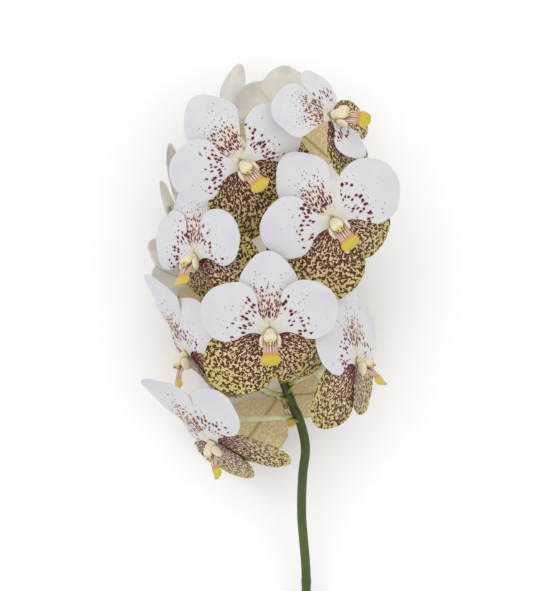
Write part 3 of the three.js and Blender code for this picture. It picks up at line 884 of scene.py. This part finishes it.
# The pedicels, one to a flower: pale green stalks that swell into the ovary behind the flower, waxy and
# smooth, with six low ridges that wind once round as the bud turned while it grew.
STALK_LINE = smooth_line((
    (22.4, -204.6, 3.1), (24.6, -140, 17), (21.5, -96, 30), (22.0, -70, 38), (23.8, -50, 44),
    (20.5, -34, 49), (14.5, -20, 53), (8.8, -4, 57), (5.5, 15, 60), (2.3, 48, 62),
    (0.3, 80, 62), (-1.6, 113, 62), (-3.6, 145, 60), (-4.2, 158, 59),
), 24)
STALK_RADIUS = 3.1
STALK_TIP_RADIUS = 1.7
TAPER_START = 0.45
OVARY_RADIUS = 2.4
PEDICEL_RADIUS = 1.5
JOINT_GAP = 0.3
PEDICEL_SINK = 0.8  # how far the fine pedicel runs into the stalk and into the flower


def stalk_radius(share):
    tapered = max(0, (share - TAPER_START) / (1 - TAPER_START))
    return STALK_RADIUS + (STALK_TIP_RADIUS - STALK_RADIUS) * tapered


def stalk_share(y):
    """The share of the stalk's length at which it reaches y."""
    for run, point in STALK_LINE:
        if point.y >= y:
            break
    return run / STALK_LINE[-1][0]


def pedicel_start(bloom):
    """Where a pedicel leaves the stalk: the stalk's share, its middle there, its direction, and outwards."""
    share = stalk_share(bloom["node"])
    middle, along = on_line(STALK_LINE, share)
    matrix = bloom_matrix(bloom)
    facing = matrix.col[2].to_3d()
    end = matrix.translation + facing * (BACK_PLANE - 0.55 - 2 * JOINT_GAP)
    outward = end - middle
    outward = (outward - along * outward.dot(along)).normalized()
    return share, middle, along, outward, end, facing


def pedicel_line(bloom):
    share, middle, along, outward, end, facing = pedicel_start(bloom)
    start = middle + outward * (stalk_radius(share) + 0.5)
    reach = (end - start).length
    one = start + outward * (reach * 0.3) + along * (reach * 0.08)
    other = end - facing * (reach * 0.4)
    points = []
    for step in range(25):
        t = step / 24
        points.append(
            start * (1 - t) ** 3 + one * (3 * t * (1 - t) ** 2) + other * (3 * t * t * (1 - t)) + end * t**3
        )
    points[0] -= outward * PEDICEL_SINK
    points[-1] += facing * PEDICEL_SINK
    return smooth_line(points, 3), along


def pedicel_girth(share, angle):
    radius = PEDICEL_RADIUS + (OVARY_RADIUS - PEDICEL_RADIUS) * share
    ridge = 1 + 0.07 * math.cos(6 * angle + 2 * math.pi * share) * min(1, share * 2)
    return radius * ridge, radius * ridge


def pedicel_skin():
    material, tree, shader = new_material("pedicel_skin")
    shares = add(tree, "ShaderNodeUVMap", {"uv_map": "shares"}).outputs[0]
    share = add(tree, "ShaderNodeSeparateXYZ", inputs={0: shares}).outputs[1]
    place = add(tree, "ShaderNodeTexCoord").outputs["Object"]
    cloud = add(tree, NOISE, inputs={"Vector": place, "Scale": 220.0, "Detail": 3.0})
    upper = add(tree, MAP_RANGE, SMOOTH, (share, 0.0, 0.22))
    colour = add(tree, MIX, COLOUR, {0: upper, 6: linear("#98A24E"), 7: linear("#DEDDBA")})
    clouded = add(tree, MAP_RANGE, SMOOTH, (cloud, 0.4, 0.75, 0.0, 0.5))
    colour = add(tree, MIX, COLOUR, {0: clouded, 6: colour, 7: linear("#B7BF83")})
    fill(tree, shader, {"Base Color": colour})
    shader.inputs["Roughness"].default_value = 0.42
    shader.inputs["IOR"].default_value = 1.45
    shader.inputs["Subsurface Weight"].default_value = 0.2
    shader.inputs["Subsurface Radius"].default_value = (0.8, 1.0, 0.4)
    shader.inputs["Subsurface Scale"].default_value = 0.0015
    return material


pale_green = pedicel_skin()
for index, bloom in enumerate(BLOOMS):
    name = bloom_name(index)
    line, sideways = pedicel_line(bloom)
    bm = rod(line, pedicel_girth, 24, 30, sideways)
    finished_piece(name + "_ribbed_pedicel", bm, (pale_green,), name + "_pedicel")


# The stalk: an olive-green stem about 6 mm thick, tough and smooth, with fine lengthwise fibres and a
# faint bloom. It thickens at each joint, where a small pointed bract clasps it under a pedicel, and it
# is cut square at its foot.
BRACT_LENGTH = 11
JOINT_SWELL = 0.5
stalk_joints = [stalk_share(bloom["node"]) for bloom in BLOOMS]
LOWER_JOINT = 0.17  # a bare joint on the lower stalk, as a share of its length


def stalk_girth(share, angle):
    radius = stalk_radius(share)
    for joint in (*stalk_joints, LOWER_JOINT):
        radius += JOINT_SWELL * 0.6 * math.exp(-(((share - joint) * STALK_LINE[-1][0] / 2.6) ** 2))
    rib = 1 + 0.018 * math.cos(9 * angle + 4 * share) + 0.012 * math.cos(5 * angle - 9 * share)
    return radius * rib, radius * rib


def bract(bloom):
    """A small pointed leaf that clasps the stalk under a pedicel."""
    share, middle, along, outward, _, _ = pedicel_start(bloom)
    sideways = outward.cross(along)
    radius = stalk_radius(share)
    part = bmesh.new()
    part.loops.layers.uv.new("shares")
    part.loops.layers.uv.new("flat_mm")
    bmesh.ops.create_grid(part, x_segments=10, y_segments=14, size=1)
    for vert in part.verts:
        across, t = vert.co.x, (vert.co.y + 1) / 2
        half = 4.2 * math.sqrt(max(1 - t * t * 0.98, 0.01))
        wrap = across * half / (radius + 0.2)
        out = (radius + 0.15) * math.cos(wrap) + 2.9 * t * t + 0.5 * t
        side = (radius + 0.15) * math.sin(wrap)
        up = -4.8 + BRACT_LENGTH * (t - 0.34 * t * t) * 0.62
        vert.co = middle + outward * out + sideways * side + along * up
    bmesh.ops.recalc_face_normals(part, faces=part.faces)
    bmesh.ops.solidify(part, geom=part.faces[:], thickness=0.5)
    for face in part.faces:
        face.material_index = 1
    return part


def stalk_skin():
    material, tree, shader = new_material("stalk_skin")
    place = add(tree, "ShaderNodeTexCoord").outputs["Object"]
    parts = add(tree, "ShaderNodeSeparateXYZ", inputs={0: place})
    fibres = add(tree, NOISE, inputs={
        "Vector": add(tree, "ShaderNodeMapping", inputs={"Vector": place, "Scale": (1400, 60, 1400)}),
        "Scale": 1.0, "Detail": 3.0,
    }).outputs[0]
    cloud = add(tree, NOISE, inputs={"Vector": place, "Scale": 70.0, "Detail": 3.0}).outputs[0]
    upper = add(tree, MAP_RANGE, SMOOTH, (parts.outputs[1], -0.12, 0.02))
    colour = add(tree, MIX, COLOUR, {0: upper, 6: linear("#425016"), 7: linear("#303B08")})
    clouded = add(tree, MAP_RANGE, SMOOTH, (cloud, 0.35, 0.7, 0.0, 0.6))
    colour = add(tree, MIX, COLOUR, {0: clouded, 6: colour, 7: linear("#515E20")})
    streaked = add(tree, MAP_RANGE, SMOOTH, (fibres, 0.5, 0.8, 0.0, 0.5))
    colour = add(tree, MIX, COLOUR, {0: streaked, 6: colour, 7: linear("#2C3A10")})
    fill(tree, shader, {"Base Color": colour})
    shader.inputs["Roughness"].default_value = 0.42
    shader.inputs["IOR"].default_value = 1.45
    shader.inputs["Subsurface Weight"].default_value = 0.08
    shader.inputs["Subsurface Radius"].default_value = (0.6, 1.0, 0.2)
    shader.inputs["Subsurface Scale"].default_value = 0.001
    bump = add(tree, "ShaderNodeBump", inputs={"Height": fibres, "Strength": 0.3, "Distance": 0.0002})
    fill(tree, shader, {"Normal": bump})
    return material


bm = rod(STALK_LINE, stalk_girth, 32, 260, Vector((1, 0, 0)))
for bloom in BLOOMS:
    joined(bm, bract(bloom))
stalk_skins = (stalk_skin(), waxy("bract_skin", linear("#7E8A1C"), 0.45))
finished_piece("ribbed_stalk", bm, stalk_skins, "stem")
